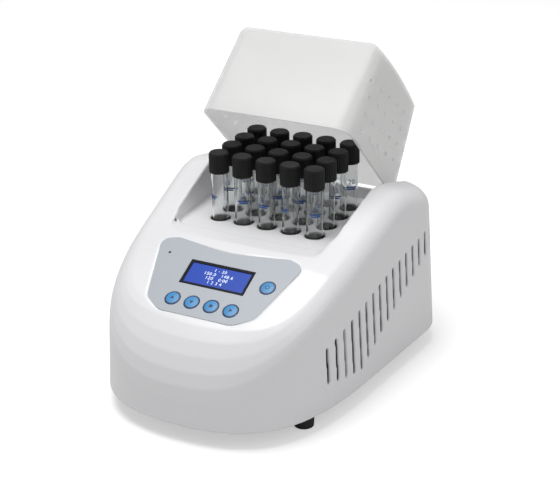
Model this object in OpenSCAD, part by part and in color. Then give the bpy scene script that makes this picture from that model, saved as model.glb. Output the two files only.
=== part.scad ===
// Chemical oxygen demand reactor: a bench heater for twenty capped digestion tubes.
// Moulded housing, heated aluminium block, sloping control panel and a hinged clear hood.
// Every piece is drawn from the deck: x across, y to the rear, z up from the tube deck,
// with the middle of the tube grid at x = 0, y = 0. placed() then stands it on its feet.

/* [Tubes] */
// Tubes across the deck
tube_columns = 5; // [5]
// Tubes from front to rear
tube_rows = 4; // [4]
// Distance between tube centres
tube_pitch = 25; // [23:0.5:26]
// Outside diameter of the glass
glass_d = 16; // [14:0.5:17]
// Wall of the glass
glass_wall = 1.2; // [0.8:0.1:1.6]
// Length of the glass
glass_length = 150; // [140:1:156]
// Height of the glass above the deck
glass_above = 64; // [56:1:68]
// Diameter of the screw cap
cap_d = 19; // [18:0.5:21]
// Height of the screw cap
cap_h = 19.5; // [15:0.5:22]
// Thickness of the cap's top
cap_top = 1.8; // [1.2:0.1:2.6]
// Gripping ribs round a cap
cap_ribs = 32; // [24:4:40]
// Depth of a gripping rib
cap_rib_depth = 0.45; // [0.3:0.05:0.6]
// Gap all round between the glass and the cap
cap_gap = 0.15; // [0.1:0.05:0.3]

/* [Housing] */
// Half width of the housing at the bottom, in front of the slots
side_front = 121; // [116:1:126]
// Half width of the housing at the bottom, where the rear corners start
side_rear = 131; // [127:1:134]
// Front edge of the housing, measured from the middle of the tubes
front_reach = 216; // [208:1:222]
// Rear wall of the housing, measured from the middle of the tubes
rear_reach = 95; // [93:1:98]
// Radius of the rear corners, seen from above
rear_corner = 50; // [42:1:54]
// Lean of the outer walls
draft = 3; // [2:0.5:4]
// Thickness of the moulded wall
wall = 3; // [2.4:0.1:3.4]
// Depth of the housing below the deck
housing_depth = 120; // [117:1:124]
// Rounding along the tops of the side walls
side_round = 16; // [12:1:18]
// Rounding over the nose
nose_round = 46; // [40:1:50]
// Height of the arms' crest above the deck
crest_h = 32.5; // [29:0.5:35]
// Swell of the top between the side walls
crown = 6.2; // [5:0.1:7]

/* [Well] */
// Half width of the well at its front edge
well_front = 80.5; // [80:0.5:82]
// Half width of the well at its rear edge
well_rear = 91; // [90:0.5:93]
// Front edge of the well, measured from the middle of the tubes
well_reach = 75; // [74:0.5:78]
// Corner radius of the well
well_corner = 18; // [14:1:20]
// Height of the front lip above the deck
lip_h = 4; // [3:0.5:6]
// Diameter of the holes in the deck
deck_hole_d = 19; // [18.2:0.1:20]
// Depth of the hinge trough below the deck
trough_depth = 16; // [15:0.5:18]
// Front edge of the hinge trough, measured from the middle of the tubes
trough_start = 63; // [62.5:0.5:65]

/* [Vents] */
// Slots in each side
slot_count = 17; // [12:1:17]
// Distance between slots
slot_pitch = 12.6; // [11:0.1:12.6]
// Width of a slot
slot_w = 3.4; // [2.6:0.1:4]

/* [Hood] */
// Half width of the hood
hood_half = 78; // [76:0.5:78.5]
// Thickness of the hood's sheet
hood_wall = 2.5; // [2:0.1:2.8]
// Corner radius of the hood
hood_corner = 16; // [16]
// How far the hood stands open at rest, in degrees
hood_open = 45; // [45]
// Hinge behind the middle of the tubes
hinge_y = 73; // [72.5:0.5:74]
// Hinge below the deck
hinge_drop = 8; // [7.5:0.5:8.5]
// Diameter of the hinge pins
pin_d = 6; // [5:0.5:6.5]
// Gap all round between a pin and the hood
pin_gap = 0.05; // [0.03:0.01:0.08]
// Diameter of the holes in the hood's sides
vent_d = 4.6; // [3.6:0.1:5]

/* [Control panel] */
// Slope of the control panel, in degrees
panel_slope = 26; // [26]
// Half width of the overlay
overlay_half = 73; // [70:0.5:74]
// Length of the overlay down the slope
overlay_length = 75; // [73:0.5:76]
// Thickness of the overlay
overlay_t = 1.2; // [0.8:0.1:1.4]
// Width of the display
display_w = 66; // [60:0.5:70]
// Height of the display
display_h = 28; // [26:0.5:30]
// Diameter of a key
key_d = 14.6; // [13:0.1:15]
// Distance between the keys in the row
key_pitch = 19.7; // [18.5:0.1:20.5]
// Travel of a key
key_travel = 0.6; // [0.4:0.1:0.8]
// Gap all round a key
key_gap = 0.35; // [0.3:0.05:0.5]

/* [Heater] */
// Metal round the outermost bores of the block
block_rim = 4; // [3:0.5:5]
// Depth of the block's top below the deck
block_drop = 12; // [9:1:16]
// Metal under the bores
block_floor = 6; // [4:0.5:8]
// Gap all round between a tube and its bore
bore_gap = 0.4; // [0.3:0.05:0.6]
// Thickness of the heater pad
pad_t = 3; // [2:0.5:4]
// Thickness of the insulation
insulation_t = 9; // [6:0.5:9.5]

/* [Base] */
// Height of the housing's lower edge above the bench
ground_gap = 16; // [14:0.5:18]
// Diameter of a foot
foot_d = 20; // [16:0.5:22]
// Thickness of the base plate
base_t = 2.5; // [2:0.1:3]

/* [Rear fittings] */
// Width of the power inlet's flange
inlet_w = 62; // [58:1:66]
// Height of the power inlet's flange
inlet_h = 31; // [29:1:34]
// Tilt of the rocker either way, in degrees
rocker_tilt = 8; // [8]

/* [Hidden] */
$fn = 48;
over = 1;

// Where the deck stands in the part's own frame
deck_y = 37.79;
deck_z = housing_depth + ground_gap;

white = [0.87, 0.87, 0.88];
silver = [0.72, 0.73, 0.75];
overlay_grey = [0.70, 0.72, 0.74];
key_blue = [0.29, 0.64, 0.86];
dark = [0.09, 0.09, 0.10];

module placed() {
    translate([0, deck_y, deck_z])
        children();
}

// Corner rounding for a polygon: an arc of n steps that replaces each corner
function unit(v) = v / norm(v);
function arc_corner(a, b, c, r, n) =
    let (
        u = unit(a - b),
        w = unit(c - b),
        half = acos(u * w) / 2,
        reach = r / tan(half),
        middle = b + unit(u + w) * r / sin(half),
        start = b + u * reach - middle,
        finish = b + w * reach - middle,
        turn = 180 - 2 * half,
        way = sign(start[0] * finish[1] - start[1] * finish[0])
    )
    [for (i = [0 : n])
        let (t = way * turn * i / n)
        middle + [start[0] * cos(t) - start[1] * sin(t), start[0] * sin(t) + start[1] * cos(t)]];
function rounded(points, radii, n = 6) =
    let (last = len(points) - 1)
    [for (i = [0 : last])
        let (
            a = points[i == 0 ? last : i - 1],
            b = points[i],
            c = points[i == last ? 0 : i + 1]
        )
        each (radii[i] > 0 ? arc_corner(a, b, c, radii[i], n) : [b])];

// Plan outline of the housing, right half, from the front centre to the rear centre
front_steps = 22;
side_steps = 8;
corner_steps = 12;
rear_steps = 6;
half_count = front_steps + side_steps + corner_steps + rear_steps;
ring_count = 2 * half_count;
bow_a = [0, -front_reach];
bow_b = [side_front * 0.66, -front_reach];
bow_c = [side_front - 9, -front_reach + 36];
bow_d = [side_front, -68];
corner_start = [side_rear, rear_reach - rear_corner];
side_lean = atan2(side_rear - side_front, corner_start[1] - bow_d[1]);
function bow(t) =
    pow(1 - t, 3) * bow_a + 3 * pow(1 - t, 2) * t * bow_b
    + 3 * (1 - t) * t * t * bow_c + pow(t, 3) * bow_d;
half_outline = concat(
    [for (i = [0 : front_steps]) bow(i / front_steps)],
    [for (i = [1 : side_steps]) bow_d + (corner_start - bow_d) * i / side_steps],
    [for (i = [1 : corner_steps])
        let (t = -side_lean + (90 + side_lean) * i / corner_steps)
        [side_rear + rear_corner * (cos(t) - cos(side_lean)),
         rear_reach - rear_corner + rear_corner * (sin(t) + sin(side_lean) * (1 - i / corner_steps))]],
    [for (i = [1 : rear_steps])
        [(side_rear - rear_corner * cos(side_lean)) * (1 - i / rear_steps), rear_reach]]
);
function turn_right(v) = [v[1], -v[0]];
function outward(i) =
    i == 0 ? [0, -1]
    : i == half_count ? [0, 1]
    : turn_right(unit(half_outline[i + 1] - half_outline[i - 1]));
normals = [for (i = [0 : half_count]) outward(i)];
function inset_point(i, d) = half_outline[i] - normals[i] * d;

// Height of the moulded top above the deck: two slopes that meet in a soft crest, and a crown
crest_y = 12;
front_slope = 0.372;
rear_slope = 0.3;
crest_soft = 7.5;
front_lift = 3.4;
rear_lift = 3.9;
crown_half = 118;
crown_start = -178;
crown_rise = 0.116;
crown_level = -63;
crown_fall = 0.048;
function soft_min(a, b) = (a + b - sqrt((a - b) * (a - b) + crest_soft * crest_soft)) / 2;
function shoulder(y) =
    soft_min(
        crest_h + front_lift + front_slope * (y - crest_y),
        crest_h + rear_lift - rear_slope * (y - crest_y)
    );
function swell(y) =
    min(crown + crown_fall * max(0, crown_level - y), max(0, crown_rise * (y - crown_start)));
function top_z(x, y) = shoulder(y) + swell(y) * (1 - pow(x / crown_half, 4));

// Closed skin of the housing, t inside the outer face
fillet_steps = 6;
top_columns = 10;
function edge_round(i) =
    side_round + (nose_round - side_round) * pow(max(0, -normals[i][1]), 2);
function wall_inset(i, z) = (z + housing_depth) * tan(draft);
function skin_point(i, level, t) =
    let (
        r = edge_round(i),
        rough = inset_point(i, 6),
        foot_z = top_z(rough[0], rough[1]) - r,
        lean = wall_inset(i, foot_z),
        turn = 90 * (level - 1) / fillet_steps,
        p = inset_point(i, level == 0 ? t : t + lean + (r - t) * (1 - cos(turn)))
    )
    level == 0
        ? [p[0], p[1], -housing_depth - (t > 0 ? over : 0)]
        : [p[0], p[1], top_z(p[0], p[1]) - t - (r - t) * (1 - sin(turn))];
function mirror_x(p) = [-p[0], p[1], p[2]];
function ring_point(i, level, t) =
    i <= half_count ? skin_point(i, level, t) : mirror_x(skin_point(ring_count - i, level, t));
module skin(t) {
    levels = fillet_steps + 2;
    top_level = levels - 1;
    ring_points = [for (k = [0 : top_level], i = [0 : ring_count - 1]) ring_point(i, k, t)];
    inner_points = [
        for (i = [1 : half_count - 1], c = [1 : top_columns - 1])
            let (
                right = skin_point(i, top_level, t),
                x = right[0] * (1 - 2 * c / top_columns)
            )
            [x, right[1], top_z(x, right[1]) - t]
    ];
    first_inner = levels * ring_count;
    function ring_id(i, k) = k * ring_count + (i % ring_count);
    function top_id(i, c) =
        i == 0 || i == half_count ? ring_id(i, top_level)
        : c == 0 ? ring_id(i, top_level)
        : c == top_columns ? ring_id(ring_count - i, top_level)
        : first_inner + (i - 1) * (top_columns - 1) + c - 1;
    sides = [
        for (k = [0 : top_level - 1], i = [0 : ring_count - 1])
            each [
                [ring_id(i, k), ring_id(i, k + 1), ring_id(i + 1, k + 1)],
                [ring_id(i, k), ring_id(i + 1, k + 1), ring_id(i + 1, k)]
            ]
    ];
    tops = [
        for (i = [0 : half_count - 1], c = [0 : top_columns - 1])
            each [
                if (i > 0) [top_id(i, c), top_id(i, c + 1), top_id(i + 1, c + 1)],
                if (i < half_count - 1) [top_id(i, c), top_id(i + 1, c + 1), top_id(i + 1, c)]
            ]
    ];
    floor = [[for (i = [0 : ring_count - 1]) ring_id(i, 0)]];
    polyhedron(points = concat(ring_points, inner_points), faces = concat(sides, tops, floor));
}

// The tube grid
function grid_x(c) = (c - (tube_columns - 1) / 2) * tube_pitch;
function grid_y(r) = (r - (tube_rows - 1) / 2) * tube_pitch;
module at_each_tube() {
    for (r = [0 : tube_rows - 1], c = [0 : tube_columns - 1])
        translate([grid_x(c), grid_y(r), 0])
            children();
}

// The control panel's own frame: y up the slope, z out of the panel
panel_y = -107;
panel_z = 0;
pocket_depth = 2;
panel_back = 5;
display_v = 28.2;
key_row_v = 60.3;
key_side = [51, 28.2];
module on_panel() {
    translate([0, panel_y, panel_z])
        rotate([panel_slope, 0, 0])
            children();
}
function overlay_outline(g) = rounded(
    [
        [0, -0.5 + g],
        [overlay_half - 16, 7 + g],
        [overlay_half + 1 + g, 2],
        [overlay_half - 18.5 + g, -overlay_length + 11],
        [overlay_half - 36, -overlay_length - g],
        [-overlay_half + 36, -overlay_length - g],
        [-overlay_half + 18.5 - g, -overlay_length + 11],
        [-overlay_half - 1 - g, 2],
        [-overlay_half + 16, 7 + g]
    ],
    [120, 12, 9, 14, 18, 18, 14, 9, 12]
);
key_places = [
    [-1.5 * key_pitch, -key_row_v],
    [-0.5 * key_pitch, -key_row_v],
    [0.5 * key_pitch, -key_row_v],
    [1.5 * key_pitch, -key_row_v],
    [key_side[0], -key_side[1]]
];

// The well between the arms
function well_plan(g) =
    let (slope = (well_rear - well_front) / (rear_reach + well_reach))
    rounded(
        [
            [well_front + g, -well_reach - g],
            [well_front + g + slope * (trough_end + g + well_reach + g), trough_end + g],
            [-well_front - g - slope * (trough_end + g + well_reach + g), trough_end + g],
            [-well_front - g, -well_reach - g]
        ],
        [well_corner + g, 4 + g, 4 + g, well_corner + g],
        8
    );
rear_wall_in = tan(draft) * (housing_depth - trough_depth / 2) + wall;
trough_end = rear_reach - rear_wall_in;
apron_reach = 118;
function well_half(y) =
    well_front + (well_rear - well_front) * (y + well_reach) / (rear_reach + well_reach);
module apron_plan() {
    polygon([
        [-well_front + 8, -apron_reach],
        [well_front - 8, -apron_reach],
        [well_front - 0.5, -well_reach + well_corner],
        [-well_front + 0.5, -well_reach + well_corner]
    ]);
}
module well_cuts() {
    tall = 90;
    intersection() {
        linear_extrude(tall)
            polygon(well_plan(0));
        translate([-150, -150, 0])
            cube([300, 150 + trough_start + over, tall]);
    }
    translate([0, 0, -trough_depth])
        intersection() {
            linear_extrude(tall)
                polygon(well_plan(0));
            translate([-150, trough_start, 0])
                cube([300, 150, tall]);
        }
    translate([0, 0, lip_h])
        linear_extrude(tall)
            apron_plan();
    rear_half = well_half(trough_end) - 6;
    translate([-rear_half, trough_end - 8, 1])
        cube([2 * rear_half, 60, tall]);
}
module tub_block() {
    tall = 90;
    translate([0, 0, -wall])
        linear_extrude(tall)
            polygon(well_plan(wall));
    translate([0, 0, -trough_depth - wall])
        intersection() {
            linear_extrude(tall)
                polygon(well_plan(wall));
            translate([-150, trough_start - wall, 0])
                cube([300, 150, tall]);
        }
    translate([0, 0, lip_h - wall])
        linear_extrude(tall)
            apron_plan();
}

// Vent slots in both sides, in a wedge that narrows to the rear
slot_first_y = -130;
function slot_top(i) = -62 + 4.2 * i - 0.07 * i * i;
function slot_bottom(i) = max(-94 - 2.2 * i, -102.8 + 7.3 * (i - 4) - 0.09 * pow(i - 4, 2));
module slot_cuts() {
    for (i = [0 : slot_count - 1], side = [-1, 1])
        translate([side * (side_front - 20), slot_first_y + i * slot_pitch, 0])
            rotate([0, side * 90, 0])
                linear_extrude(40) {
                    low = side * slot_bottom(i);
                    high = side * slot_top(i);
                    translate([-low, 0])
                        circle(d = slot_w);
                    translate([-high, 0])
                        circle(d = slot_w);
                    translate([min(-low, -high), -slot_w / 2])
                        square([abs(high - low), slot_w]);
                }
}

// Screw posts, feet and the base plate
post_places = [[76, -168], [-76, -168], [108, -98.5], [-108, -98.5], [104, 65.3], [-104, 65.3]];
foot_places = [[90, -141], [-90, -141], [98, 40], [-98, 40]];
base_top = -housing_depth + 1.5 + base_t;
post_d = 9;
post_screw_d = 3.2;
module screw_posts() {
    for (p = post_places)
        translate([p[0], p[1], base_top])
            cylinder(d = post_d, h = 160);
}
module post_holes() {
    for (p = post_places)
        translate([p[0], p[1], base_top - over])
            cylinder(d = post_screw_d, h = 18 + over);
}

// Rear power inlet and rocker, right of centre seen from behind
inlet_x = -48;
inlet_z = -84;
rear_face_y = rear_reach - tan(draft) * (housing_depth + inlet_z);
inlet_flange_t = 2.5;
module on_rear() {
    translate([inlet_x, rear_face_y, inlet_z])
        rotate([draft, 0, 0])
            rotate([90, 0, 180])
                children();
}

module housing() {
    color(white)
        placed()
            difference() {
                skin(0);
                difference() {
                    skin(wall);
                    tub_block();
                    on_panel()
                        translate([0, 0, -panel_back])
                            linear_extrude(30)
                                polygon(overlay_outline(wall));
                    screw_posts();
                    on_panel()
                        board_posts();
                }
                well_cuts();
                translate([0, 0, -wall - over])
                    at_each_tube()
                        cylinder(d = deck_hole_d, h = wall + 2 * over);
                slot_cuts();
                on_panel()
                    panel_cuts();
                post_holes();
                for (side = [-1, 1])
                    translate([side * (hood_half - 8), hinge_y, -hinge_drop])
                        rotate([0, side * 90, 0])
                            cylinder(d = pin_d + pin_seat, h = 30);
                on_rear()
                    inlet_cut();
            }
}
pin_seat = 0.06;
board_drop = 11;
board_screw_d = 2.6;
board_posts_at = [[62, -8], [-62, -8], [42, -66], [-42, -66]];
module board_posts() {
    for (p = board_posts_at)
        translate([p[0], p[1], -board_drop])
            difference() {
                cylinder(d = 6, h = board_drop - 2);
                translate([0, 0, -over])
                    cylinder(d = board_screw_d + 0.2, h = 6 + over);
            }
}
module panel_cuts() {
    translate([0, 0, -pocket_depth])
        linear_extrude(30)
            polygon(overlay_outline(0.3));
    translate([-display_w / 2 - 0.3, -display_v - display_h / 2 - 0.3, -panel_back - over])
        cube([display_w + 0.6, display_h + 0.6, 10]);
    for (p = key_places)
        translate([p[0], p[1], -panel_back - over])
            cylinder(d = key_d + 2 * key_gap, h = 10);
}
module inlet_cut() {
    translate([-inlet_w / 2 + 5, -inlet_h / 2 + 3, -10])
        cube([inlet_w - 10, inlet_h - 6, 20]);
}

module base_plate() {
    gap = wall + 0.5;
    right = [for (i = [0 : half_count]) inset_point(i, gap)];
    left = [for (i = [1 : half_count - 1]) [-right[half_count - i][0], right[half_count - i][1]]];
    color(silver)
        placed()
            difference() {
                union() {
                    translate([0, 0, base_top - base_t])
                        linear_extrude(base_t)
                            polygon(concat(right, left));
                    for (x = [-1, 1], y = [-1, 1])
                        translate([x * (jacket_half_x - 8), y * (jacket_half_y - 8), base_top])
                            cylinder(d = 10, h = jacket_bottom - base_top);
                }
                for (p = concat(post_places, foot_places))
                    translate([p[0], p[1], base_top - base_t - over])
                        cylinder(d = 4.5, h = base_t + 2 * over);
                for (i = [-4 : 4])
                    translate([i * 11 - 2, -100, base_top - base_t - over])
                        cube([4, 30, base_t + 2 * over]);
            }
}

module feet() {
    top = base_top - base_t;
    color(dark)
        placed()
            for (p = foot_places)
                translate([p[0], p[1], -deck_z])
                    difference() {
                        cylinder(d1 = foot_d - 2, d2 = foot_d, h = top + deck_z);
                        translate([0, 0, -over])
                            cylinder(d = 9, h = 6 + over);
                        cylinder(d = 4.5, h = 60);
                    }
}

// Pan-head screws: six hold the base plate, four the feet and four the control board
module screws() {
    module screw(shank, length, head, head_h) {
        cylinder(d = head, h = head_h);
        cylinder(d = shank, h = head_h + length);
    }
    color(silver)
        placed() {
            for (p = post_places)
                translate([p[0], p[1], base_top - base_t - 2])
                    screw(3.1, 14, 6.4, 2);
            on_panel()
                for (p = board_posts_at)
                    translate([p[0], p[1], -board_drop - 1.6 - 1.8])
                        screw(board_screw_d, 6, 5, 1.8);
            for (p = foot_places)
                translate([p[0], p[1], -deck_z + 3.5])
                    screw(4.3, base_top + deck_z - 3, 7.6, 2.5);
        }
}

// Heating block, its pad and its jacket
block_half_x = (tube_columns - 1) / 2 * tube_pitch + glass_d / 2 + bore_gap + block_rim;
block_half_y = (tube_rows - 1) / 2 * tube_pitch + glass_d / 2 + bore_gap + block_rim;
tube_bottom = glass_above - glass_length;
bore_bottom = tube_bottom - 0.3;
block_bottom = bore_bottom - block_floor;
jacket_half_x = block_half_x + insulation_t;
jacket_half_y = block_half_y + insulation_t;
jacket_bottom = block_bottom - pad_t - insulation_t;
jacket_top = -6;
probe_y = 0;
probe_d = 4;
probe_gap = 0.05;
module heating_block() {
    color(silver)
        placed()
            difference() {
                translate([-block_half_x, -block_half_y, block_bottom])
                    cube([2 * block_half_x, 2 * block_half_y, -block_drop - block_bottom]);
                translate([0, 0, bore_bottom])
                    at_each_tube()
                        cylinder(d = glass_d + 2 * bore_gap, h = 200);
                translate([block_half_x - 30, probe_y, block_bottom + 20])
                    rotate([0, 90, 0])
                        cylinder(d = probe_d + 2 * probe_gap, h = 60);
            }
}
module heater_pad() {
    color("orange")
        placed()
            translate([-block_half_x, -block_half_y, block_bottom - pad_t])
                cube([2 * block_half_x, 2 * block_half_y, pad_t]);
}
module insulation_jacket() {
    color([0.85, 0.83, 0.76])
        placed()
            difference() {
                translate([-jacket_half_x, -jacket_half_y, jacket_bottom])
                    cube([2 * jacket_half_x, 2 * jacket_half_y, jacket_top - jacket_bottom]);
                translate([-block_half_x, -block_half_y, block_bottom - pad_t])
                    cube([2 * block_half_x, 2 * block_half_y, 200]);
                translate([0, probe_y, block_bottom + 20])
                    rotate([0, 90, 0])
                        cylinder(d = probe_d + 2, h = 200);
            }
}
module temperature_probe() {
    color("gray")
        placed()
            translate([block_half_x - 30, probe_y, block_bottom + 20])
                rotate([0, 90, 0]) {
                    cylinder(d = probe_d, h = 30 + insulation_t + 3);
                    translate([0, 0, 30 + insulation_t])
                        cylinder(d = 8, h = 6);
                }
}

// Control panel pieces
module panel_overlay() {
    color(overlay_grey)
        placed()
            on_panel()
                difference() {
                    translate([0, 0, -pocket_depth])
                        linear_extrude(overlay_t)
                            polygon(overlay_outline(0));
                    translate([-display_w / 2, -display_v - display_h / 2, -10])
                        cube([display_w, display_h, 20]);
                    for (p = key_places)
                        translate([p[0], p[1], -10])
                            cylinder(d = key_d + 2 * key_gap, h = 20);
                    translate([-58, -12, -10])
                        cylinder(d = 2, h = 20);
                }
}
display_t = 6;
module display() {
    top = -pocket_depth + overlay_t - 0.2;
    color([0.10, 0.28, 0.67])
        placed()
            on_panel() {
                translate([-display_w / 2, -display_v - display_h / 2, top - display_t])
                    cube([display_w, display_h, display_t]);
                translate([-display_w / 2 - 5, -display_v - display_h / 2 - 4, top - display_t - 1.6])
                    cube([display_w + 10, display_h + 8, 1.6]);
            }
}
switch_top = -7.6;
module control_board() {
    color([0.13, 0.42, 0.25])
        placed()
            on_panel() {
                difference() {
                    translate([-68, -72, -board_drop - 1.6])
                        cube([136, 70, 1.6]);
                    for (p = board_posts_at)
                        translate([p[0], p[1], -board_drop - 3])
                            cylinder(d = 3.2, h = 6);
                }
                for (p = key_places)
                    translate([p[0] - 3, p[1] - 3, -board_drop])
                        cube([6, 6, switch_top + board_drop]);
                translate([-30, -44, -board_drop])
                    cube([60, 26, 2]);
            }
}
key_proud = 0.5;
key_flange_d = 17;
key_flange_t = 1.2;
module key(i) {
    top = -pocket_depth + overlay_t + key_proud;
    plunger_top = -panel_back + 1;
    color(key_blue)
        placed()
            on_panel()
                translate([key_places[i][0], key_places[i][1], 0]) {
                    translate([0, 0, plunger_top])
                        cylinder(d = key_d, h = top - plunger_top);
                    translate([0, 0, -panel_back - 0.1 - key_flange_t])
                        cylinder(d = key_flange_d, h = key_flange_t);
                    translate([0, 0, switch_top + key_travel + 0.1])
                        cylinder(d = 5, h = plunger_top - switch_top - key_travel);
                }
}

// Hood, drawn closed about its hinge: y and z are measured from the hinge axis
rim_up = hinge_drop + 1.3;
rim_front = -147;
ridge_front = [-134, 106];
ridge_rear = [-11, 110];
back_end = [7, 22.8];
front_lean = atan2(ridge_front[0] - rim_front, ridge_front[1] - rim_up);
back_lean = atan2(back_end[0] - ridge_rear[0], ridge_rear[1] - back_end[1]);
dome_rise = 4;
dome_chord = norm(ridge_rear - ridge_front);
dome_r = (pow(dome_chord / 2, 2) + dome_rise * dome_rise) / (2 * dome_rise);
dome_up = unit([-(ridge_rear - ridge_front)[1], (ridge_rear - ridge_front)[0]]);
dome_centre = (ridge_front + ridge_rear) / 2 - dome_up * (dome_r - dome_rise);
dome_corner = hood_corner + 0.6;
lug_r = 7;
module hood_side_profile(g) {
    peak = (ridge_front + ridge_rear) / 2 + dome_up * (dome_rise + 5);
    low = g > 0 ? 30 : 0;
    front_foot = [rim_front - low * tan(front_lean), rim_up - low];
    back_foot = back_end + low * [tan(back_lean), -1];
    shift_f = g / cos(front_lean);
    shift_b = g / cos(back_lean);
    if (g > 0)
        polygon([
            front_foot + [shift_f, 0],
            ridge_front + [shift_f, 0] + 20 * [tan(front_lean), 1],
            ridge_rear - [shift_b, 0] + 20 * [-tan(back_lean), 1],
            back_foot - [shift_b, 0]
        ]);
    else {
        polygon(rounded(
            [
                front_foot,
                ridge_front + 0.4 * dome_up,
                peak,
                ridge_rear + 0.4 * dome_up,
                back_end,
                [2, 15.3],
                [2, 0],
                [-lug_r, 0],
                [-lug_r - 2.5, rim_up]
            ],
            [0, 9, 0, 12, 0, 0, 0, 0, 0]
        ));
        circle(r = lug_r);
    }
}
module rounded_front(half, r) {
    polygon(rounded([[-half, 0], [half, 0], [half, 400], [-half, 400]], [r, r, 0, 0], 8));
}
module hood_form(g) {
    half = hood_half - g;
    r = hood_corner - g;
    top_r = dome_corner - g;
    intersection() {
        rotate([90, 0, 90])
            linear_extrude(2 * half + 2, center = true)
                hood_side_profile(g);
        translate([0, rim_front, rim_up])
            rotate([-front_lean, 0, 0])
                translate([0, g, -60])
                    linear_extrude(300)
                        rounded_front(half, r);
        translate([0, back_end[0], back_end[1]])
            rotate([back_lean, 0, 0])
                translate([0, -g, -60])
                    linear_extrude(300)
                        mirror([0, 1])
                            rounded_front(half, r);
        translate([0, dome_centre[0], dome_centre[1]])
            rotate([0, 90, 0])
                rotate_extrude($fn = 200) {
                    translate([0, -half])
                        square([dome_r - g - top_r, 2 * half]);
                    translate([0, -half + top_r])
                        square([dome_r - g, 2 * (half - top_r)]);
                    for (side = [-1, 1])
                        translate([dome_r - g - top_r, side * (half - top_r)])
                            circle(r = top_r);
                }
    }
}
vent_rows = 4;
vent_columns = 6;
vent_first = [-130.5, 68];
vent_along = [22.2, 3.6];
vent_down = [3.7, -15.5];
module hood_vents() {
    for (row = [0 : vent_rows - 1], column = [0 : vent_columns - 1])
        translate(concat(0, vent_first + column * vent_along + row * vent_down))
            rotate([0, 90, 0])
                cylinder(d = vent_d, h = 4 * hood_half, center = true, $fn = 16);
}
module hood() {
    boss = 5;
    color([0.90, 0.90, 0.89, 0.6])
        placed()
            translate([0, hinge_y, -hinge_drop])
                rotate([-hood_open, 0, 0])
                    difference() {
                        union() {
                            difference() {
                                hood_form(0);
                                hood_form(hood_wall);
                            }
                            for (side = [-1, 1])
                                translate([side * (hood_half - boss), 0, 0])
                                    rotate([0, side * 90, 0])
                                        cylinder(r = lug_r - 0.6, h = boss - 0.6);
                        }
                        rotate([0, 90, 0])
                            cylinder(d = pin_d + 2 * pin_gap, h = 4 * hood_half, center = true);
                        hood_vents();
                    }
}
module hinge_pins() {
    inner = hood_half - 6.5;
    wall_x = well_half(hinge_y);
    color(silver)
        placed()
            for (side = [-1, 1])
                translate([side * inner, hinge_y, -hinge_drop])
                    rotate([0, side * 90, 0]) {
                        cylinder(d = pin_d, h = wall_x + wall - inner);
                        translate([0, 0, hood_half + 0.4 - inner])
                            cylinder(d = pin_d + 4, h = wall_x - hood_half - 1);
                    }
}

// Power inlet with a fuse drawer and the frame of the switch; z points out of the rear wall
socket_x = -11;
socket_w = 27.5;
socket_h = 20;
rocker_x = 18;
rocker_w = 13;
rocker_h = 20;
rocker_pivot = 1.5;
rocker_pin_d = 2.4;
module power_inlet() {
    color(dark)
        placed()
            on_rear() {
                difference() {
                    union() {
                        translate([-inlet_w / 2, -inlet_h / 2, 0])
                            cube([inlet_w, inlet_h, inlet_flange_t]);
                        translate([-inlet_w / 2 + 5.3, -inlet_h / 2 + 3.3, -22])
                            cube([inlet_w - 10.6, inlet_h - 6.6, 22]);
                    }
                    translate([socket_x, 1, -15])
                        linear_extrude(20)
                            polygon([
                                [-socket_w / 2, -socket_h / 2],
                                [socket_w / 2, -socket_h / 2],
                                [socket_w / 2, socket_h / 2 - 5],
                                [socket_w / 2 - 5, socket_h / 2],
                                [-socket_w / 2 + 5, socket_h / 2],
                                [-socket_w / 2, socket_h / 2 - 5]
                            ]);
                    translate([rocker_x - rocker_w / 2, -rocker_h / 2, -12])
                        cube([rocker_w, rocker_h, 20]);
                    translate([rocker_x, 0, -rocker_pivot])
                        rotate([0, 90, 0])
                            cylinder(d = rocker_pin_d + 0.1, h = rocker_w + 1.6, center = true);
                }
                for (x = [-7, 0, 7])
                    translate([socket_x + x - 1, (x == 0 ? 3 : -1) - 2, -16])
                        cube([2, 4, 11]);
            }
}
module rocker() {
    color(dark)
        placed()
            on_rear()
                translate([rocker_x, 0, -rocker_pivot])
                    rotate([rocker_tilt, 0, 0])
                        rotate([90, 0, 90]) {
                            linear_extrude(rocker_w - 0.8, center = true)
                                polygon([[-8.6, 5], [-7.4, -5.5], [7.4, -5.5], [8.6, 5], [0, 3.6]]);
                            cylinder(d = rocker_pin_d, h = rocker_w + 1.2, center = true);
                        }
}

// Glass tube with a round bottom, and its ribbed screw cap
module tube() {
    r = glass_d / 2;
    color([0.85, 0.90, 0.92, 0.4])
        placed()
            difference() {
                union() {
                    translate([0, 0, tube_bottom + r])
                        cylinder(r = r, h = glass_length - r);
                    translate([0, 0, tube_bottom + r])
                        sphere(r = r);
                }
                translate([0, 0, tube_bottom + r])
                    cylinder(r = r - glass_wall, h = glass_length);
                translate([0, 0, tube_bottom + r])
                    sphere(r = r - glass_wall);
            }
}
cap_bevel = 1.2;
module cap() {
    ribs = 2 * cap_ribs;
    root_d = cap_d - 2 * cap_rib_depth - 0.2;
    ring = [
        for (i = [0 : 2 * ribs - 1])
            let (r = cap_d / 2 - (i % 4 < 2 ? 0 : cap_rib_depth), t = 180 * i / ribs)
            [r * cos(t), r * sin(t)]
    ];
    bottom = glass_above + cap_top - cap_h;
    color(dark)
        placed()
            difference() {
                union() {
                    translate([0, 0, bottom])
                        linear_extrude(cap_h - cap_bevel)
                            polygon(ring);
                    translate([0, 0, bottom + cap_h - cap_bevel])
                        cylinder(d1 = root_d, d2 = root_d - cap_bevel, h = cap_bevel);
                }
                translate([0, 0, bottom - over])
                    cylinder(d = glass_d + 2 * cap_gap, h = cap_h - cap_top + over);
            }
}
module tube_at(r, c) {
    translate([grid_x(c), grid_y(r), 0])
        tube();
}
module cap_at(r, c) {
    translate([grid_x(c), grid_y(r), 0])
        cap();
}

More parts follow.
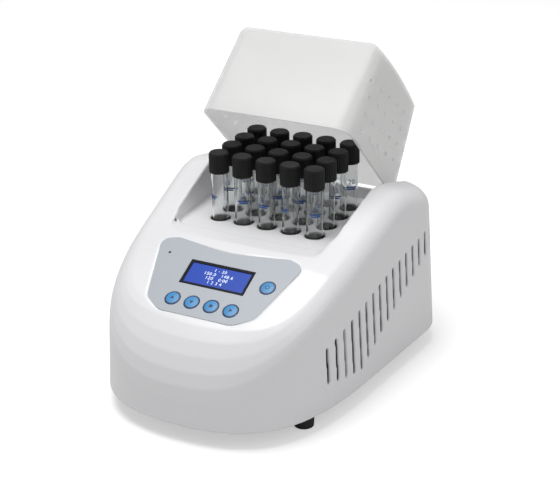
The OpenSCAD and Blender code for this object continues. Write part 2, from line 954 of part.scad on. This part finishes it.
housing();
base_plate();
feet();
screws();
heating_block();
heater_pad();
insulation_jacket();
temperature_probe();
panel_overlay();
display();
control_board();
key(0);  // key_1
key(1);  // key_2
key(2);  // key_3
key(3);  // key_4
key(4);  // key_5
hood();
hinge_pins();
power_inlet();
rocker();
tube_at(0, 0);  // tube_a1
tube_at(0, 1);  // tube_a2
tube_at(0, 2);  // tube_a3
tube_at(0, 3);  // tube_a4
tube_at(0, 4);  // tube_a5
tube_at(1, 0);  // tube_b1
tube_at(1, 1);  // tube_b2
tube_at(1, 2);  // tube_b3
tube_at(1, 3);  // tube_b4
tube_at(1, 4);  // tube_b5
tube_at(2, 0);  // tube_c1
tube_at(2, 1);  // tube_c2
tube_at(2, 2);  // tube_c3
tube_at(2, 3);  // tube_c4
tube_at(2, 4);  // tube_c5
tube_at(3, 0);  // tube_d1
tube_at(3, 1);  // tube_d2
tube_at(3, 2);  // tube_d3
tube_at(3, 3);  // tube_d4
tube_at(3, 4);  // tube_d5
cap_at(0, 0);  // cap_a1
cap_at(0, 1);  // cap_a2
cap_at(0, 2);  // cap_a3
cap_at(0, 3);  // cap_a4
cap_at(0, 4);  // cap_a5
cap_at(1, 0);  // cap_b1
cap_at(1, 1);  // cap_b2
cap_at(1, 2);  // cap_b3
cap_at(1, 3);  // cap_b4
cap_at(1, 4);  // cap_b5
cap_at(2, 0);  // cap_c1
cap_at(2, 1);  // cap_c2
cap_at(2, 2);  // cap_c3
cap_at(2, 3);  // cap_c4
cap_at(2, 4);  // cap_c5
cap_at(3, 0);  // cap_d1
cap_at(3, 1);  // cap_d2
cap_at(3, 2);  // cap_d3
cap_at(3, 3);  // cap_d4
cap_at(3, 4);  // cap_d5
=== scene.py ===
from math import cos, pi, radians, sin

import bmesh
import bpy
from mathutils import Matrix, Vector


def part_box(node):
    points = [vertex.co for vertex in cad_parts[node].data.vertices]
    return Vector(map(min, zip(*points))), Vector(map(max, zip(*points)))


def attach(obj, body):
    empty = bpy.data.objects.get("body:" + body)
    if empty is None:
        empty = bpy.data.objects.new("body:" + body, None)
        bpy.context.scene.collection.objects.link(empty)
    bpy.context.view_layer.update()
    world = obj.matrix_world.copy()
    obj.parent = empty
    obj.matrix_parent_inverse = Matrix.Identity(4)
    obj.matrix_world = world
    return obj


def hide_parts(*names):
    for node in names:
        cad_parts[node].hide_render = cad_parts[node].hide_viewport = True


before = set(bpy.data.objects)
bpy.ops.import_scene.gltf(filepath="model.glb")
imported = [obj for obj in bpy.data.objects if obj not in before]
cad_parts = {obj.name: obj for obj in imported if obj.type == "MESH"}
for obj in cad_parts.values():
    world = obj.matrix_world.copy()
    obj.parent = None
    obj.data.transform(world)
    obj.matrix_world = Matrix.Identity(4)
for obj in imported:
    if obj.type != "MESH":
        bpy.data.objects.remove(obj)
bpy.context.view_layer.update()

# Base: a coated steel plate closes the bottom of the housing and stands on four rubber feet.
# Six screws go up through the plate into the housing's posts, one holds each foot, and four hold the
# control board. These pieces keep their CAD shapes and only take their finishes here.


def surface_patches():
    """Builds the shared node group of fine grain and broad patches that varies every finish."""
    group = bpy.data.node_groups.new("surface_patches", "ShaderNodeTree")
    for name, kind in [("Vector", "NodeSocketVector"), ("Grain Size", "NodeSocketFloat"),
                       ("Patch Size", "NodeSocketFloat")]:
        group.interface.new_socket(name, in_out="INPUT", socket_type=kind)
    for name in ["Grain", "Patches"]:
        group.interface.new_socket(name, in_out="OUTPUT", socket_type="NodeSocketFloat")
    nodes, links = group.nodes, group.links
    start, end = nodes.new("NodeGroupInput"), nodes.new("NodeGroupOutput")
    for size, detail, output in [("Grain Size", 3.0, "Grain"), ("Patch Size", 2.0, "Patches")]:
        per_metre = nodes.new("ShaderNodeMath")
        per_metre.operation = "DIVIDE"
        per_metre.inputs[0].default_value = 1.0
        links.new(start.outputs[size], per_metre.inputs[1])
        noise = nodes.new("ShaderNodeTexNoise")
        noise.inputs["Detail"].default_value = detail
        links.new(start.outputs["Vector"], noise.inputs["Vector"])
        links.new(per_metre.outputs[0], noise.inputs["Scale"])
        links.new(noise.outputs["Fac"], end.inputs[output])
    return group


patches_group = surface_patches()


class Finish:
    """A material whose colour, roughness and relief vary a little over the surface."""

    def __init__(self, name, colour, roughness, grain=0.0008, patch=0.03, relief=0.00002,
                 colour_spread=0.05, roughness_spread=0.06, stretch=(1, 1, 1), metallic=0.0):
        self.material = bpy.data.materials.new(name)
        self.material.use_nodes = True
        nodes, links = self.material.node_tree.nodes, self.material.node_tree.links
        self.shader = nodes["Principled BSDF"]
        self.shader.inputs["Metallic"].default_value = metallic
        place = nodes.new("ShaderNodeTexCoord")
        scale = nodes.new("ShaderNodeMapping")
        scale.inputs["Scale"].default_value = stretch
        links.new(place.outputs["Object"], scale.inputs["Vector"])
        patches = nodes.new("ShaderNodeGroup")
        patches.node_tree = patches_group
        patches.inputs["Grain Size"].default_value = grain
        patches.inputs["Patch Size"].default_value = patch
        links.new(scale.outputs["Vector"], patches.inputs["Vector"])
        shade = nodes.new("ShaderNodeMix")
        shade.data_type = "RGBA"
        shade.inputs["A"].default_value = [c * (1 - colour_spread) for c in colour] + [1]
        shade.inputs["B"].default_value = [min(1, c * (1 + colour_spread)) for c in colour] + [1]
        links.new(patches.outputs["Patches"], shade.inputs["Factor"])
        links.new(shade.outputs["Result"], self.shader.inputs["Base Color"])
        gloss = nodes.new("ShaderNodeMapRange")
        gloss.inputs["To Min"].default_value = roughness - roughness_spread
        gloss.inputs["To Max"].default_value = roughness + roughness_spread
        links.new(patches.outputs["Patches"], gloss.inputs["Value"])
        links.new(gloss.outputs["Result"], self.shader.inputs["Roughness"])
        bump = nodes.new("ShaderNodeBump")
        bump.inputs["Distance"].default_value = relief
        links.new(patches.outputs["Grain"], bump.inputs["Height"])
        links.new(bump.outputs["Normal"], self.shader.inputs["Normal"])

    def dress(self, *nodes):
        """Gives CAD nodes this finish."""
        for name in nodes:
            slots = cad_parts[name].data.materials
            slots.clear()
            slots.append(self.material)


plate_coat = Finish("grey_coated_steel", (0.42, 0.43, 0.44), 0.5, grain=0.0012, relief=0.00004)
foot_rubber = Finish("foot_rubber", (0.018, 0.018, 0.019), 0.72, grain=0.0006, relief=0.00005)
screw_steel = Finish("zinc_plated_steel", (0.62, 0.62, 0.60), 0.34, grain=0.0003, relief=0.00001,
                     metallic=1.0)
plate_coat.dress("base_plate")
foot_rubber.dress("feet")
screw_steel.dress("screws")

# Heater: a drilled aluminium block on a silicone heating pad, wrapped in a pressed mineral jacket.
# A steel temperature probe is pushed into its side. The block shows through the holes in the deck.

block_metal = Finish("machined_aluminium", (0.56, 0.55, 0.53), 0.38, grain=0.0005, relief=0.00002,
                     stretch=(1, 1, 0.15), metallic=1.0)
pad_silicone = Finish("heater_silicone", (0.46, 0.11, 0.03), 0.6, grain=0.001, relief=0.00005)
jacket_board = Finish("mineral_board", (0.60, 0.56, 0.46), 0.9, grain=0.0015, relief=0.0002,
                      colour_spread=0.12)
probe_steel = Finish("probe_steel", (0.55, 0.55, 0.55), 0.25, stretch=(0.1, 1, 1), metallic=1.0)
block_metal.dress("heating_block")
pad_silicone.dress("heater_pad")
jacket_board.dress("insulation_jacket")
probe_steel.dress("temperature_probe")

# Housing: one deep moulding of glossy white plastic with soft edges, on which all the rest is fixed.
# The CAD solid gives its shape. A fine mesh is grown over it and relaxed, so that its rims turn over as
# a moulding's do, most of all along the lips of the two arms beside the tubes.

deck_at = Vector((0, 0.03779, 0.136))
skin_cell = 0.0011
skin_triangles = 190000
lip_floor = 0.004
lip_front = -0.1
lip_inside = 0.07
even_rounds = 3
lip_rounds = 16
same_point = 1e-6


def own_object(name, mesh, body, finish):
    """Makes a new piece that rides on a body and wears a finish."""
    piece = bpy.data.objects.new(name, mesh)
    bpy.context.scene.collection.objects.link(piece)
    if mesh.materials:
        mesh.materials[0] = finish.material
    else:
        mesh.materials.append(finish.material)
    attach(piece, body)
    return piece


def merged_copy(node):
    """Copies a CAD node's mesh with its loose triangles joined."""
    copy = bmesh.new()
    copy.from_mesh(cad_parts[node].data)
    bmesh.ops.remove_doubles(copy, verts=copy.verts, dist=same_point)
    return copy


def as_mesh(shape, name):
    """Turns a finished bmesh into a mesh and frees it."""
    mesh = bpy.data.meshes.new(name)
    shape.to_mesh(mesh)
    shape.free()
    return mesh


def settle(piece):
    """Applies a piece's modifiers to its mesh."""
    seen = piece.evaluated_get(bpy.context.evaluated_depsgraph_get())
    mesh = bpy.data.meshes.new_from_object(seen)
    piece.modifiers.clear()
    piece.data = mesh


housing_white = Finish("white_moulding", (0.80, 0.80, 0.815), 0.33, grain=0.0009, patch=0.06,
                       relief=0.000012, colour_spread=0.012, roughness_spread=0.04)
housing_white.shader.inputs["Coat Weight"].default_value = 0.25
housing_white.shader.inputs["Coat Roughness"].default_value = 0.22
housing_skin = own_object("housing_skin", as_mesh(merged_copy("housing"), "housing_skin"), "base",
                          housing_white)
grow = housing_skin.modifiers.new("grow", "REMESH")
grow.mode = "VOXEL"
grow.voxel_size = skin_cell
settle(housing_skin)
relax = bmesh.new()
relax.from_mesh(housing_skin.data)
lips = [
    v for v in relax.verts
    if v.co.z > deck_at.z + lip_floor
    and v.co.y > deck_at.y + lip_front
    and abs(v.co.x) > lip_inside
]
for verts, rounds in [(relax.verts, even_rounds), (lips, lip_rounds)]:
    for _ in range(rounds):
        bmesh.ops.smooth_vert(relax, verts=verts, factor=0.5, use_axis_x=True, use_axis_y=True,
                              use_axis_z=True)
relax.to_mesh(housing_skin.data)
relax.free()
triangles_now = sum(len(p.vertices) - 2 for p in housing_skin.data.polygons)
if triangles_now > skin_triangles:
    thin = housing_skin.modifiers.new("thin", "DECIMATE")
    thin.ratio = skin_triangles / triangles_now
    settle(housing_skin)
housing_skin.data.shade_smooth()
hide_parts("housing")

# Control panel: a satin grey film overlay is stuck in a shallow pocket of the sloping front.
# Behind it a green board carries the display module and the switches under five round keys.
# The film is bare but for its sensor dot and its cut-outs.

slope = radians(26)
panel_middle = Vector((0, -0.107, 0))
panel = Matrix.Translation(deck_at + panel_middle) @ Matrix.Rotation(slope, 4, "X")
film_top = -0.0008
film = Finish("grey_film", (0.41, 0.44, 0.48), 0.36, grain=0.0004, relief=0.00001, colour_spread=0.02)
board_green = Finish("circuit_board", (0.02, 0.16, 0.06), 0.4, grain=0.002, relief=0.00003,
                     colour_spread=0.2)
film.dress("panel_overlay")
board_green.dress("control_board")
print_lift = 0.00006
sensor_at = Vector((-0.058, -0.012, film_top + print_lift))
sensor_radius = 0.00125
sensor_sides = 32
sensor_black = Finish("sensor_dot", (0.004, 0.004, 0.005), 0.5, relief=0.0)
sensor_black.shader.inputs["Specular IOR Level"].default_value = 0.2
sensor = bmesh.new()
bmesh.ops.create_circle(sensor, cap_ends=True, segments=sensor_sides, radius=sensor_radius)
sensor.transform(panel @ Matrix.Translation(sensor_at))
own_object("sensor_dot", as_mesh(sensor, "sensor_dot"), "base", sensor_black)

# Display: a liquid crystal module with a black frame, lit blue from behind, with plain white digits.

display_size = Vector((0.066, 0.028))
display_middle = Vector((0, -0.0282, -0.001))
display_depth = 0.006
display_frame = 0.0038
screen_sink = 0.0005
frame_round = 0.0002
frame_edge = 0.02
backing_border = (0.01, 0.008)
backing_thick = 0.0016
digit_rows = [("1 - 20", 0.0046, 0.0070), ("150.0   148.6", 0.0048, 0.0024),
              ("120   0:00", 0.0048, -0.0024), ("1 2 3 4", 0.0046, -0.0070)]
digit_spread = 1.15
digit_steps = 3

frame_black = Finish("display_frame", (0.004, 0.004, 0.008), 0.5, relief=0.000005)
frame_black.shader.inputs["Specular IOR Level"].default_value = 0.15
screen_blue = Finish("display_blue", (0.012, 0.055, 0.38), 0.3, grain=0.0003, relief=0.0,
                     colour_spread=0.08)
screen_blue.shader.inputs["Emission Color"].default_value = (0.012, 0.07, 0.5, 1)
screen_blue.shader.inputs["Emission Strength"].default_value = 0.15
screen_blue.shader.inputs["Specular IOR Level"].default_value = 0.2
digit_white = Finish("display_white", (0.75, 0.80, 0.86), 0.4, relief=0.0)
digit_white.shader.inputs["Emission Color"].default_value = (0.75, 0.85, 1, 1)
digit_white.shader.inputs["Emission Strength"].default_value = 0.5

module = bmesh.new()
bmesh.ops.create_cube(module, size=1)
bmesh.ops.scale(module, verts=module.verts, vec=(*display_size, display_depth))
bmesh.ops.translate(module, verts=module.verts, vec=(0, 0, -display_depth / 2))
front = max(module.faces, key=lambda f: f.calc_center_median().z)
bmesh.ops.inset_region(module, faces=[front], thickness=display_frame)
bmesh.ops.inset_region(module, faces=[front], thickness=screen_sink, depth=-screen_sink)
front.material_index = 1
rim = [
    e for e in module.edges
    if len(e.link_faces) == 2
    and e.calc_length() > frame_edge
    and min(abs(v.co.z) for v in e.verts) < same_point
]
bmesh.ops.bevel(module, geom=rim, offset=frame_round, segments=2, profile=0.5, affect="EDGES", material=-1)
backing = bmesh.ops.create_cube(module, size=1)["verts"]
bmesh.ops.scale(module, verts=backing, vec=(display_size.x + backing_border[0],
                                            display_size.y + backing_border[1], backing_thick))
bmesh.ops.translate(module, verts=backing, vec=(0, 0, -display_depth - backing_thick / 2))
module.transform(panel @ Matrix.Translation(display_middle))
display_piece = own_object("display_module", as_mesh(module, "display_module"), "base", frame_black)
display_piece.data.materials.append(screen_blue.material)
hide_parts("display")


def flat_text(name, text, size, steps, spread=1.0):
    """Makes a flat mesh of centred characters, with a number of steps in each curve."""
    curve = bpy.data.curves.new(name, "FONT")
    curve.body = text
    curve.size = size
    curve.align_x, curve.align_y = "CENTER", "CENTER"
    curve.resolution_u = steps
    curve.space_character = spread
    words = bpy.data.objects.new(name + "_curve", curve)
    bpy.context.scene.collection.objects.link(words)
    bpy.context.view_layer.update()
    mesh = bpy.data.meshes.new_from_object(words.evaluated_get(bpy.context.evaluated_depsgraph_get()))
    bpy.data.objects.remove(words)
    return mesh


for count, (text, size, up) in enumerate(digit_rows, 1):
    name = f"display_digits_{count}"
    digits = flat_text(name, text, size, digit_steps, digit_spread)
    digits_at = display_middle + Vector((0, up, -screen_sink + print_lift))
    digits.transform(panel @ Matrix.Translation(digits_at))
    own_object(name, digits, "base", digit_white)

# Keys: five round caps of light blue plastic, each with a printed navy ring and a plain dark sign.
# Their crowns are a little domed, and each moves straight in on the switch behind it.

key_radius = 0.0073
key_top = -0.0003
key_foot = -0.004
key_ring = 0.0014
key_edge = 0.00035
key_sides = 64
ring_depth = 0.0004
key_dome = 0.00045
dome_steps = 5
dome_shares = dome_steps * (dome_steps + 1) / 2
key_row = -0.0603
key_step = 0.0197
key_places = [(-1.5 * key_step, key_row), (-0.5 * key_step, key_row), (0.5 * key_step, key_row),
              (1.5 * key_step, key_row), (0.051, -0.0282)]
key_signs = ["up", "down", "square", "right", "ring"]
sign_corners = {"up": (3, 0), "down": (3, 180), "square": (4, 45), "right": (3, -90)}
sign_size = 0.0021
sign_hole = 0.72
sign_sides = 40
sign_lift = 0.00012

key_blue = Finish("key_blue", (0.035, 0.26, 0.56), 0.38, grain=0.0004, relief=0.000008,
                  colour_spread=0.06)
key_navy = Finish("key_ring", (0.010, 0.035, 0.12), 0.4, relief=0.000008)
sign_ink = Finish("key_sign", (0.010, 0.030, 0.09), 0.5, relief=0.0)


def key_cap(place):
    """A round cap whose crown is inset in rings that rise less and less towards its middle."""
    cap = bmesh.new()
    bmesh.ops.create_cone(cap, cap_ends=True, segments=key_sides, radius1=key_radius, radius2=key_radius,
                          depth=key_top - key_foot)
    bmesh.ops.translate(cap, verts=cap.verts, vec=(0, 0, (key_top + key_foot) / 2))
    crown = max(cap.faces, key=lambda f: f.calc_center_median().z)
    bmesh.ops.bevel(cap, geom=list(crown.edges), offset=key_edge, segments=3, profile=0.5, affect="EDGES",
                    material=-1)
    crown = max(cap.faces, key=lambda f: (round(f.calc_center_median().z, 6), f.calc_area()))
    bmesh.ops.inset_region(cap, faces=[crown], thickness=key_ring - key_edge)
    for face in cap.faces:
        if face.calc_center_median().z > key_top - ring_depth and face is not crown:
            face.material_index = 1
    for step in range(dome_steps):
        bmesh.ops.inset_region(cap, faces=[crown], thickness=(key_radius - key_ring) / (dome_steps + 1),
                               depth=key_dome / dome_shares * (dome_steps - step))
    for face in cap.faces:
        face.smooth = True
    cap.transform(place)
    return cap


def sign_shape(kind):
    """A flat ring, or a flat shape with a few corners."""
    sign = bmesh.new()
    if kind in sign_corners:
        corners, turn = sign_corners[kind]
        bmesh.ops.create_circle(sign, cap_ends=True, segments=corners, radius=sign_size)
        bmesh.ops.rotate(sign, verts=sign.verts, cent=(0, 0, 0),
                         matrix=Matrix.Rotation(radians(turn), 3, "Z"))
    else:
        for radius in (sign_size, sign_size * sign_hole):
            bmesh.ops.create_circle(sign, segments=sign_sides, radius=radius)
        bmesh.ops.bridge_loops(sign, edges=sign.edges)
    return sign


for number, ((x, y), kind) in enumerate(zip(key_places, key_signs), 1):
    key_at = panel @ Matrix.Translation((x, y, 0))
    crown_piece = own_object(f"key_cap_{number}", as_mesh(key_cap(key_at), f"key_cap_{number}"),
                             f"key_{number}", key_blue)
    crown_piece.data.materials.append(key_navy.material)
    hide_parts(f"key_{number}")
    sign = sign_shape(kind)
    sign.transform(key_at @ Matrix.Translation((0, 0, key_top + key_dome + sign_lift)))
    own_object(f"key_sign_{number}", as_mesh(sign, f"key_sign_{number}"), f"key_{number}", sign_ink)

# Hood: a deep cover blown from one frosted sheet, hinged at the rear and drilled with rows of vent holes
# in both sides. The CAD solid gives its shape, and here its corners shade as one smooth sheet.

hood_crease = radians(28)
hood_sheet = Finish("frosted_sheet", (0.94, 0.94, 0.935), 0.42, grain=0.0012, patch=0.05, relief=0.00003,
                    colour_spread=0.02, roughness_spread=0.05)
hood_sheet.shader.inputs["Transmission Weight"].default_value = 0.3
hood_sheet.shader.inputs["Alpha"].default_value = 0.55
hood_sheet.shader.inputs["IOR"].default_value = 1.46
hood_piece = own_object("hood_sheet", as_mesh(merged_copy("hood"), "hood_sheet"), "hood", hood_sheet)
hood_piece.data.shade_smooth()
hood_piece.data.set_sharp_from_angle(angle=hood_crease)
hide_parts("hood")
pin_steel = Finish("pin_steel", (0.58, 0.58, 0.58), 0.28, stretch=(0.1, 1, 1), metallic=1.0)
pin_steel.dress("hinge_pins")

# Rear fittings: a black mains inlet, and a plain black rocker in the frame beside it.

rear_plastic = Finish("inlet_plastic", (0.020, 0.020, 0.022), 0.5, grain=0.0005, relief=0.00003)
rear_plastic.dress("power_inlet", "rocker")

# Tubes: plain borosilicate tubes with round bottoms, each with a small blue print fired on the glass.
# The print is made of plain numbers and bars, and every tube stands turned its own way.

rows, columns = "abcd", 5
tube_radius = 0.008
glass_print_lift = 0.00004
print_middle = 0.0285
print_number_size = 0.0072
print_bars = [(-0.0054, 0.0062), (-0.0073, 0.0045)]
bar_height = 0.0007
bar_steps = 8
number_steps = 2
print_edge = 0.0007
print_turns = 100
print_turn_step = 67
print_turn_first = -35

glass = Finish("borosilicate", (0.96, 0.975, 0.975), 0.03, grain=0.002, patch=0.02, relief=0.0,
               colour_spread=0.0, roughness_spread=0.01)
glass.shader.inputs["Transmission Weight"].default_value = 1.0
glass.shader.inputs["IOR"].default_value = 1.47
blue_print = Finish("fired_print", (0.015, 0.085, 0.30), 0.45, relief=0.0, colour_spread=0.2)


def wrapped(mesh, turn, place):
    """Bends a flat print round the glass and carries it to its tube."""
    print_shape = bmesh.new()
    print_shape.from_mesh(mesh)
    bmesh.ops.triangulate(print_shape, faces=print_shape.faces)
    for _ in range(2):
        long_edges = [e for e in print_shape.edges if e.calc_length() > print_edge]
        bmesh.ops.subdivide_edges(print_shape, edges=long_edges, cuts=1)
        bmesh.ops.triangulate(print_shape, faces=print_shape.faces)
    reach = tube_radius + glass_print_lift
    for v in print_shape.verts:
        angle = turn + v.co.x / reach
        v.co = place + Vector((reach * sin(angle), -reach * cos(angle), v.co.y))
    print_shape.to_mesh(mesh)
    print_shape.free()


def print_mesh(name, number):
    """Makes a flat number with two bars below it."""
    mesh = flat_text(name, number, print_number_size, number_steps)
    shape = bmesh.new()
    shape.from_mesh(mesh)
    for up, half in print_bars:
        bar = bmesh.ops.create_grid(shape, x_segments=bar_steps, y_segments=1, size=1)["verts"]
        bmesh.ops.scale(shape, verts=bar, vec=(half, bar_height, 1))
        bmesh.ops.translate(shape, verts=bar, vec=(0, up, 0))
    shape.to_mesh(mesh)
    shape.free()
    return mesh


tube_names = [f"{row}{column}" for row in rows for column in range(1, columns + 1)]
glass.dress(*[f"tube_{name}" for name in tube_names])
for index, name in enumerate(tube_names):
    low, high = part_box(f"tube_{name}")
    foot = Vector(((low[0] + high[0]) / 2, (low[1] + high[1]) / 2, deck_at.z + print_middle))
    turn = radians((index * print_turn_step) % print_turns + print_turn_first)
    mesh = print_mesh(f"print_{name}", str(index + 1))
    wrapped(mesh, turn, foot)
    own_object(f"print_{name}", mesh, f"tube_{name}", blue_print)

# Caps: ribbed black screw caps, moulded in a hard matt plastic.

cap_black = Finish("cap_plastic", (0.008, 0.0085, 0.008), 0.5, grain=0.0005, relief=0.00003,
                   colour_spread=0.15)
cap_black.shader.inputs["Specular IOR Level"].default_value = 0.3
cap_black.dress(*[f"cap_{name}" for name in tube_names])

# Studio: a white floor under a plain white sky, a wide lamp overhead and a weak one at the right.
# Floor and sky look brighter to the camera than they shine, so that both reach the picture's white.

camera_at = (0.612546, -1.117245, 0.689022)
camera_turn = (radians(28.194), radians(24.025), radians(-1.009))
sensor_width = 36
focal_pixels = 1480
picture_width = 560
floor_half = 14
floor_grey = 0.72
floor_glow = 0.45
sky_light = 0.38
sky_seen = 1.0
lamp_aim = (0, 0, 0.1)

floor = bmesh.new()
bmesh.ops.create_grid(floor, x_segments=1, y_segments=1, size=floor_half)
floor_piece = bpy.data.objects.new("floor", as_mesh(floor, "floor"))
bpy.context.scene.collection.objects.link(floor_piece)
floor_paper = bpy.data.materials.new("floor_paper")
floor_paper.use_nodes = True
paper_nodes, paper_links = floor_paper.node_tree.nodes, floor_paper.node_tree.links
paper = paper_nodes["Principled BSDF"]
paper.inputs["Base Color"].default_value = (floor_grey, floor_grey, floor_grey, 1)
paper.inputs["Roughness"].default_value = 0.9
seen = paper_nodes.new("ShaderNodeLightPath")
glow = paper_nodes.new("ShaderNodeEmission")
glow_strength = paper_nodes.new("ShaderNodeMath")
glow_strength.operation = "MULTIPLY"
glow_strength.inputs[1].default_value = floor_glow
both = paper_nodes.new("ShaderNodeAddShader")
paper_links.new(seen.outputs["Is Camera Ray"], glow_strength.inputs[0])
paper_links.new(glow_strength.outputs[0], glow.inputs["Strength"])
paper_links.new(paper.outputs[0], both.inputs[0])
paper_links.new(glow.outputs[0], both.inputs[1])
paper_links.new(both.outputs[0], paper_nodes["Material Output"].inputs["Surface"])
floor_piece.data.materials.append(floor_paper)

world = bpy.data.worlds.new("studio")
bpy.context.scene.world = world
world.use_nodes = True
sky_nodes, sky_links = world.node_tree.nodes, world.node_tree.links
sky = sky_nodes["Background"]
sky.inputs["Color"].default_value = (1, 1, 1, 1)
sky_path = sky_nodes.new("ShaderNodeLightPath")
sky_strength = sky_nodes.new("ShaderNodeMapRange")
sky_strength.inputs["To Min"].default_value = sky_light
sky_strength.inputs["To Max"].default_value = sky_seen
sky_links.new(sky_path.outputs["Is Camera Ray"], sky_strength.inputs["Value"])
sky_links.new(sky_strength.outputs["Result"], sky.inputs["Strength"])


def lamp(name, place, size, power):
    """Hangs a round lamp that is turned to the object."""
    light = bpy.data.lights.new(name, "AREA")
    light.shape = "DISK"
    light.size = size
    light.energy = power
    lamp_piece = bpy.data.objects.new(name, light)
    bpy.context.scene.collection.objects.link(lamp_piece)
    lamp_piece.location = place
    lamp_piece.rotation_euler = (Vector(lamp_aim) - Vector(place)).to_track_quat("-Z", "Y").to_euler()


lamp("left_lamp", (-0.35, -0.1, 2.2), 1.4, 33)
lamp("right_lamp", (1.5, -0.3, 1.5), 1.6, 5)

camera = bpy.data.cameras.new("camera")
camera.sensor_fit = "HORIZONTAL"
camera.sensor_width = sensor_width
camera.lens = sensor_width * focal_pixels / picture_width
camera_piece = bpy.data.objects.new("camera", camera)
bpy.context.scene.collection.objects.link(camera_piece)
azimuth, elevation, roll = camera_turn
camera_piece.matrix_world = (
    Matrix.Translation(camera_at)
    @ Matrix.Rotation(azimuth, 4, "Z")
    @ Matrix.Rotation(pi / 2 - elevation, 4, "X")
    @ Matrix.Rotation(roll, 4, "Z")
)
bpy.context.scene.camera = camera_piece
bpy.context.scene.view_settings.view_transform = "Standard"
